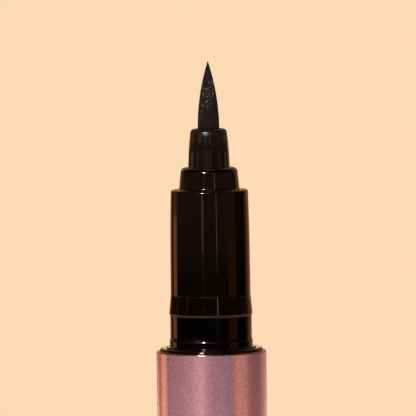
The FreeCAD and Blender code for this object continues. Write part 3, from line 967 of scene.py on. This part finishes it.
def wall(name, bottom, top, stops, radius=WALL_RADIUS):
    """Studio wall that only gloss shows: part of a sphere between a lower and an upper edge, with
    tones that blend between (azimuth, colour) stops."""
    points, tones, faces = [], [], []
    tallest = max(top(azimuth) - bottom(azimuth) for azimuth, _ in stops)
    rows = math.ceil(tallest / WALL_STEP)
    for (azimuth, tone), (end_azimuth, end_tone) in zip(stops, stops[1:]):
        steps = max(1, math.ceil((end_azimuth - azimuth) / WALL_STEP))
        for step in range(steps + 1):
            share = step / steps
            turn = azimuth + (end_azimuth - azimuth) * share
            low, high = bottom(turn), top(turn)
            for row in range(rows + 1):
                elevation = low + (high - low) * row / rows
                points.append(STUDIO_CENTRE + heading(turn, elevation) * radius)
                tones += [(1 - share) * x + share * y for x, y in zip(tone, end_tone)] + [1.0]
                if step and row:
                    last = len(points) - 1
                    faces.append((last - rows - 2, last - 1, last, last - rows - 1))
    mesh = bpy.data.meshes.new(name)
    mesh.from_pydata(points, [], faces)
    mesh.color_attributes.new("tone", "FLOAT_COLOR", "POINT").data.foreach_set("color", tones)
    material = bpy.data.materials.new(name)
    nodes = Nodes(material)
    nodes.tree.nodes.clear()
    tone = nodes.add("ShaderNodeAttribute", attribute_name="tone")
    glow = nodes.add("ShaderNodeEmission", {"Color": tone.outputs["Color"], "Strength": 1.0})
    nodes.add("ShaderNodeOutputMaterial", {"Surface": glow.outputs[0]})
    mesh.materials.append(material)
    panel = new_object(name, mesh)
    panel.visible_camera = False
    panel.visible_diffuse = False
    panel.visible_shadow = False
    panel.visible_transmission = False


def bands(*tones):
    """Stops for bands with sharp edges, from (start azimuth, end azimuth, colour) rows."""
    stops = []
    for start, end, tone in tones:
        stops += [(start, tone), (end, tone)]
    return stops


def scaled(stops, share):
    """The same stops with all tones taken down, or up, to a share."""
    return [(azimuth, tuple(share * value for value in tone)) for azimuth, tone in stops]


# Tones of the walls
NIGHT = (0.002, 0.001, 0.0005)
DUSK = (0.04, 0.0215, 0.016)
SHADE = (0.0137, 0.00659, 0.00355)
EVENING = (0.0676, 0.03, 0.025)
CORNER = (0.1, 0.036, 0.014)
STRIPE = (0.6, 0.23, 0.08)
BACK_RIGHT = (0.474, 0.174, 0.0774)
BACK_HIGH = (0.3, 0.16, 0.09)
RIGHT_GLOW = (0.088, 0.03, 0.007)
RIGHT_DUSK = (0.02, 0.009, 0.006)
RIGHT_SHADE = (0.012, 0.007, 0.005)
CEILING = (0.02, 0.012, 0.01)
ZENITH = (0.3, 0.2, 0.19)
WING = (1.2, 0.7, 0.38)
UNDER_BEAD = (0.32, 0.15, 0.11)

# Azimuths of the room's ends, where the walls at the back start, and of the glow on the right one
ROOM_LEFT = -134
ROOM_RIGHT = 118
BACK_RIGHT_START = 137

# Edges between what the pen's sides mirror, from the barrel up to the tip holder
SWEEP_BASE = level(-65)
SWEEP_EDGE = level(-11)
WALL_BASE = level(-6.5)
NECK_EDGE = mirrored(0.16, 4.8)
BODY_LOW_EDGE = mirrored(0.33, 4.18)
BODY_MIDDLE_EDGE = mirrored(1.15, 3.52)
BODY_EDGE = mirrored(1.9, 3.0)
HOLDER_LOW_EDGE = mirrored(4.97, 4.72)
RAMP_EDGE = mirrored(5.47, 4.72)
STEP_EDGE = mirrored(5.9, 2.8)
HOLDER_EDGE = mirrored(8.0, 2.5)
WALL_TOP = level(78)

# Edges of the walls behind the pen
BACK_EDGE = level(0.5)
WINGS_BASE = level(3.85)
WINGS_TOP = level(6.5)
WINGS_LEFT = -165
WINGS_RIGHT = 165

# Bright sweep below the object's level, which the satin metal shows, dimmer towards the room
SWEEP = [
    (-180, (3.8, 3.0, 2.6)),
    (-150, (2.9, 2.0, 1.75)),
    (-146, (1.8, 0.75, 0.6)),
    (-132, (1.8, 0.75, 0.6)),
    (-131, (1.75, 1.45, 1.0)),
    (-119, (2.2, 1.8, 1.25)),
    (-108, (2.0, 1.45, 1.1)),
    (-107, (0.6, 0.37, 0.5)),
    (-98, (1.1, 0.92, 0.98)),
    (-70, (1.1, 0.9, 0.92)),
    (-50, (1.3, 1.08, 1.12)),
    (-30, (1.43, 1.2, 1.25)),
    (-18, (1.25, 1.03, 1.06)),
    (-6, (1.12, 0.9, 0.95)),
    (4, (0.92, 0.8, 0.92)),
    (22, (0.86, 0.82, 0.96)),
    (48, (0.78, 0.69, 0.68)),
    (51, (1.5, 0.98, 0.73)),
    (75, (1.4, 1.03, 0.84)),
    (88, (0.85, 0.57, 0.48)),
    (105, (0.78, 0.52, 0.49)),
    (120, (0.82, 0.64, 0.58)),
    (150, (1.45, 1.35, 1.28)),
    (168, (2.3, 2.7, 2.5)),
    (180, (2.3, 2.7, 2.5)),
]
SWEEP_NEAR_SHARE = 0.7
SWEEP_SHARE = 1.3
wall("sweep_near", SWEEP_EDGE, WALL_BASE, scaled(SWEEP, SWEEP_NEAR_SHARE))
wall("sweep", SWEEP_BASE, SWEEP_EDGE, scaled(SWEEP, SWEEP_SHARE))

# Dull ground that the underside of the click bead mirrors
UNDER_RADIUS = 1.42
UNDER_BASE = mirrored(-27, 4.6)
UNDER_EDGE = mirrored(-16, 4.6)
wall("under_bead", UNDER_BASE, UNDER_EDGE, bands((-176, 176, UNDER_BEAD)), UNDER_RADIUS)

# Dim room at the object's level and above, which the gloss black shows
LEFT_BACK_STOPS = [
    (-180, (0.28, 0.11, 0.0599)),
    (-161, (0.389, 0.161, 0.0882)),
    (-153, (0.342, 0.131, 0.072)),
    (-147, (0.07, 0.025, 0.01)),
    (ROOM_LEFT, CORNER),
]
RIGHT_BACK_STOPS = [
    (ROOM_RIGHT, SHADE),
    (BACK_RIGHT_START, (0.275, 0.0965, 0.0432)),
    (150, BACK_RIGHT),
    (180, BACK_RIGHT),
]
LEFT_HIGH_STOPS = bands((-180, ROOM_LEFT, BACK_HIGH))
RIGHT_HIGH_STOPS = [(ROOM_RIGHT, SHADE), *bands((BACK_RIGHT_START, 180, BACK_HIGH))]
LEFT_WING_STOPS = bands((-180, WINGS_LEFT, WING), (WINGS_LEFT, ROOM_LEFT, BACK_HIGH))
RIGHT_WING_STOPS = bands((BACK_RIGHT_START, WINGS_RIGHT, BACK_HIGH), (WINGS_RIGHT, 180, WING))
wall("back_left", WALL_BASE, BACK_EDGE, LEFT_BACK_STOPS)
wall("back_right", WALL_BASE, BACK_EDGE, RIGHT_BACK_STOPS)
wall("back_left_high", BACK_EDGE, WINGS_BASE, LEFT_HIGH_STOPS)
wall("back_right_high", BACK_EDGE, WINGS_BASE, RIGHT_HIGH_STOPS)
wall("wings_left", WINGS_BASE, WINGS_TOP, LEFT_WING_STOPS)
wall("wings_right", WINGS_BASE, WINGS_TOP, [(ROOM_RIGHT, SHADE), *RIGHT_WING_STOPS])
wall("back_left_top", WINGS_TOP, WALL_TOP, LEFT_HIGH_STOPS)
wall("back_right_top", WINGS_TOP, WALL_TOP, RIGHT_HIGH_STOPS)

wall("zenith", WALL_TOP, level(90), bands((-180, 180, ZENITH)))

# Bright stripe on the left of the room, its dusk in front and a faint glow on the right
STRIPE_LEFT = -132.5
STRIPE_RIGHT = -113.5
STRIPE_STOPS = bands((ROOM_LEFT, STRIPE_LEFT, CORNER), (STRIPE_LEFT, STRIPE_RIGHT, STRIPE))
DUSK_STOPS = bands((STRIPE_RIGHT, 40, DUSK))
NIGHT_GLOW_STOPS = [(55, RIGHT_GLOW), (79, RIGHT_GLOW), (82, NIGHT), (ROOM_RIGHT, NIGHT)]
GLOW_STOPS = [(55, RIGHT_GLOW), (79, RIGHT_GLOW), (82, RIGHT_DUSK), (ROOM_RIGHT, RIGHT_SHADE)]

# How bright the dusk is on the section's lower, middle and upper part, and the stripe on the upper
LOW_DUSK_SHARE = 0.4
MIDDLE_DUSK_SHARE = 1.2
TOP_DUSK_SHARE = 1.65
TOP_STRIPE_SHARE = 0.4

wall("room_neck", WALL_BASE, NECK_EDGE, [
    *STRIPE_STOPS, *bands((STRIPE_RIGHT, 50, NIGHT)), *NIGHT_GLOW_STOPS
])
wall("room_body_low", NECK_EDGE, BODY_LOW_EDGE, [
    *STRIPE_STOPS, *scaled(DUSK_STOPS, LOW_DUSK_SHARE), (50, NIGHT), *NIGHT_GLOW_STOPS
])
wall("room_body_middle", BODY_LOW_EDGE, BODY_MIDDLE_EDGE, [
    *STRIPE_STOPS, *scaled(DUSK_STOPS, MIDDLE_DUSK_SHARE), *GLOW_STOPS
])
wall("room_body_top", BODY_MIDDLE_EDGE, BODY_EDGE, [
    *scaled(STRIPE_STOPS, TOP_STRIPE_SHARE), *scaled(DUSK_STOPS, TOP_DUSK_SHARE), *GLOW_STOPS
])
wall("room_holder_low", BODY_EDGE, HOLDER_LOW_EDGE, [
    (ROOM_LEFT, (0.1, 0.05, 0.03)),
    (-119, (0.2, 0.1, 0.06)),
    (-110, (0.45, 0.25, 0.16)),
    (-104, (0.3, 0.16, 0.1)),
    (-97, (0.08, 0.03, 0.01)),
    (-76, (0.04, 0.012, 0.004)),
    (-72, (0.24, 0.12, 0.1)),
    (-66, (0.24, 0.12, 0.1)),
    (-60, (0.07, 0.04, 0.035)),
    (-34, (0.07, 0.04, 0.035)),
    (-26, (0.12, 0.07, 0.065)),
    (14, (0.13, 0.075, 0.07)),
    (18, (0.04, 0.015, 0.01)),
    (34, (0.04, 0.015, 0.01)),
    (68, (0.14, 0.07, 0.05)),
    (76, (0.04, 0.012, 0.005)),
    (96, (0.05, 0.02, 0.01)),
    (102, (0.26, 0.13, 0.1)),
    (112, (0.26, 0.13, 0.1)),
    (ROOM_RIGHT, (0.13, 0.06, 0.035)),
])
wall("room_ramp", HOLDER_LOW_EDGE, RAMP_EDGE, bands((ROOM_LEFT, ROOM_RIGHT, SHADE)))
wall("room_step", RAMP_EDGE, STEP_EDGE, [
    (ROOM_LEFT, (0.12, 0.05, 0.03)),
    (-100, (0.07, 0.035, 0.025)),
    (-85, EVENING),
    (85, EVENING),
    (ROOM_RIGHT, (0.05, 0.023, 0.02)),
])
wall("room_holder_high", STEP_EDGE, HOLDER_EDGE, [
    (ROOM_LEFT, (0.14, 0.06, 0.04)),
    (-119, (0.28, 0.13, 0.06)),
    (-106, (0.22, 0.1, 0.04)),
    (-96, (0.1, 0.05, 0.02)),
    (-84, (0.07, 0.03, 0.015)),
    (-72, (0.09, 0.045, 0.03)),
    (-66, (0.3, 0.17, 0.15)),
    (-54, (0.3, 0.17, 0.15)),
    (-42, (0.11, 0.055, 0.045)),
    (2, (0.11, 0.06, 0.05)),
    (4, (0.28, 0.17, 0.14)),
    (11, (0.28, 0.17, 0.14)),
    (15, (0.05, 0.02, 0.012)),
    (40, (0.08, 0.04, 0.022)),
    (75, (0.1, 0.05, 0.035)),
    (98, (0.05, 0.02, 0.012)),
    (104, (0.3, 0.17, 0.12)),
    (114, (0.3, 0.17, 0.12)),
    (ROOM_RIGHT, (0.12, 0.05, 0.03)),
])
wall("room_top", HOLDER_EDGE, WALL_TOP, bands((ROOM_LEFT, ROOM_RIGHT, CEILING)))

# Dark doorway behind on the left, which only the tip holder's edge mirrors
DOORWAY_RADIUS = 1.48
DOORWAY_LEFT = -158
DOORWAY_LOW_EDGE = mirrored(3.4, 2.6)
DOORWAY_HIGH_BASE = mirrored(5.8, 2.6)
DOORWAY_LOW_STOPS = bands((DOORWAY_LEFT, ROOM_LEFT, (0.035, 0.014, 0.006)))
DOORWAY_HIGH_STOPS = bands((DOORWAY_LEFT, ROOM_LEFT, (0.1, 0.04, 0.02)))
wall("doorway_low", BODY_EDGE, DOORWAY_LOW_EDGE, DOORWAY_LOW_STOPS, DOORWAY_RADIUS)
wall("doorway_high", DOORWAY_HIGH_BASE, HOLDER_EDGE, DOORWAY_HIGH_STOPS, DOORWAY_RADIUS)

# Slender strips of light in front of the walls
STRIP_RADIUS = 1.45
STEP_LOW_EDGE = mirrored(5.3, 3.06)
STEP_HIGH_EDGE = mirrored(5.66, 3.06)
RIGHT_STRIP = (18.6, 20.1)
RIGHT_STEP_STRIP = (20.0, 21.5)
LEFT_STRIP = (-24, -19)
FAR_LEFT_STRIP = (-73, -70)
for name, bottom, top, place, tone in (
    ("strip_body", mirrored(0.33, 4.12), BODY_EDGE, RIGHT_STRIP, (0.56, 0.42, 0.37)),
    ("strip_neck", mirrored(0.0, 5.3), mirrored(0.1, 4.65), RIGHT_STRIP, (0.09, 0.08, 0.07)),
    ("strip_ramp", HOLDER_LOW_EDGE, RAMP_EDGE, RIGHT_STRIP, (1.0, 0.88, 0.82)),
    ("strip_step", STEP_LOW_EDGE, STEP_HIGH_EDGE, RIGHT_STEP_STRIP, (1.1, 0.9, 0.8)),
    ("strip_left", mirrored(0.33, 3.96), mirrored(1.62, 3.2), LEFT_STRIP, (0.4, 0.23, 0.2)),
    ("strip_step_left", STEP_LOW_EDGE, STEP_HIGH_EDGE, LEFT_STRIP, (0.17, 0.09, 0.07)),
    ("strip_far_left", HOLDER_LOW_EDGE, RAMP_EDGE, FAR_LEFT_STRIP, (0.1, 0.07, 0.06)),
):
    wall(name, bottom, top, bands((*place, tone)), STRIP_RADIUS)

# Glow round the small bright light, which widens its sparks sideways
HALO_RADIUS = 1.44
HALO_BASE = level(14)
HALO_TOP = level(24)
HALO_STOPS = [
    (-52, (0, 0, 0)),
    (-34, (0.5, 0.38, 0.36)),
    (-25, (2.2, 2.0, 1.95)),
    (-18, (2.2, 2.0, 1.95)),
    (-9, (0.5, 0.38, 0.36)),
    (8, (0, 0, 0)),
]
wall("halo", HALO_BASE, HALO_TOP, HALO_STOPS, HALO_RADIUS)


def area_lamp(name, shape, azimuth, elevation, distance, size, power):
    """Lamp that faces the object and that the camera doesn't see."""
    light = bpy.data.lights.new(name, "AREA")
    light.shape = shape
    light.size = size
    light.energy = power
    lamp = new_object(name, light)
    lamp.location = STUDIO_CENTRE + heading(azimuth, elevation) * distance
    lamp.rotation_euler = heading(azimuth, elevation).to_track_quat("Z", "Y").to_euler()
    lamp.visible_camera = False
    return lamp


# Small bright light that makes the sparks on the corners
KEY_AZIMUTH = -21.5
KEY_ELEVATION = 19.5
KEY_DISTANCE = 1.0
KEY_SIZE = 0.13
KEY_POWER = 2.8
area_lamp("key", "DISK", KEY_AZIMUTH, KEY_ELEVATION, KEY_DISTANCE, KEY_SIZE, KEY_POWER)

# Wide soft light from the upper left, which gives matt surfaces their shading
SOFT_AZIMUTH = -50
SOFT_ELEVATION = 45
SOFT_DISTANCE = 1.2
SOFT_SIZE = 0.7
SOFT_POWER = 1.4
soft = area_lamp(
    "soft", "SQUARE", SOFT_AZIMUTH, SOFT_ELEVATION, SOFT_DISTANCE, SOFT_SIZE, SOFT_POWER
)
soft.visible_glossy = False

# Floor: its radius and how far it lies below the object in metres, the share of its radius within
# which it is solid, and how finely it is cut up
FLOOR_RADIUS = 0.1
FLOOR_DROP = 0.0002
FLOOR_SOLID_SHARE = 0.5
FLOOR_RINGS = 12
FLOOR_SIDES = 96


def floor():
    """Pale disc that keeps the object's shadow and fades into the background at its edge."""
    points, faces = [(0, 0, 0)], []
    for ring in range(1, FLOOR_RINGS + 1):
        for side in range(FLOOR_SIDES):
            angle = 2 * math.pi * side / FLOOR_SIDES
            radius = FLOOR_RADIUS * ring / FLOOR_RINGS
            points.append((radius * math.cos(angle), radius * math.sin(angle), 0))
    for side in range(FLOOR_SIDES):
        following = (side + 1) % FLOOR_SIDES
        faces.append((0, 1 + side, 1 + following))
        for ring in range(FLOOR_RINGS - 1):
            low, high = 1 + ring * FLOOR_SIDES, 1 + (ring + 1) * FLOOR_SIDES
            faces.append((low + side, high + side, high + following, low + following))
    mesh = bpy.data.meshes.new("floor")
    mesh.from_pydata(points, [], faces)
    material = bpy.data.materials.new("floor")
    nodes = Nodes(material)
    nodes.tree.nodes.clear()
    length = nodes.add("ShaderNodeVectorMath", {0: nodes.place()}, operation="LENGTH")
    reach = length.outputs["Value"]
    low, high = FLOOR_RADIUS * FLOOR_SOLID_SHARE, FLOOR_RADIUS
    fade = nodes.mapped(reach, low, high, 1.0, 0.0, interpolation_type="SMOOTHSTEP")
    paint = nodes.add("ShaderNodeBsdfDiffuse", {"Color": BACKGROUND})
    clear = nodes.add("ShaderNodeBsdfTransparent")
    mix = nodes.add("ShaderNodeMixShader", {0: fade, 1: clear.outputs[0], 2: paint.outputs[0]})
    nodes.add("ShaderNodeOutputMaterial", {"Surface": mix.outputs[0]})
    mesh.materials.append(material)
    disc = new_object("floor", mesh)
    disc.location.z = -FLOOR_DROP


floor()
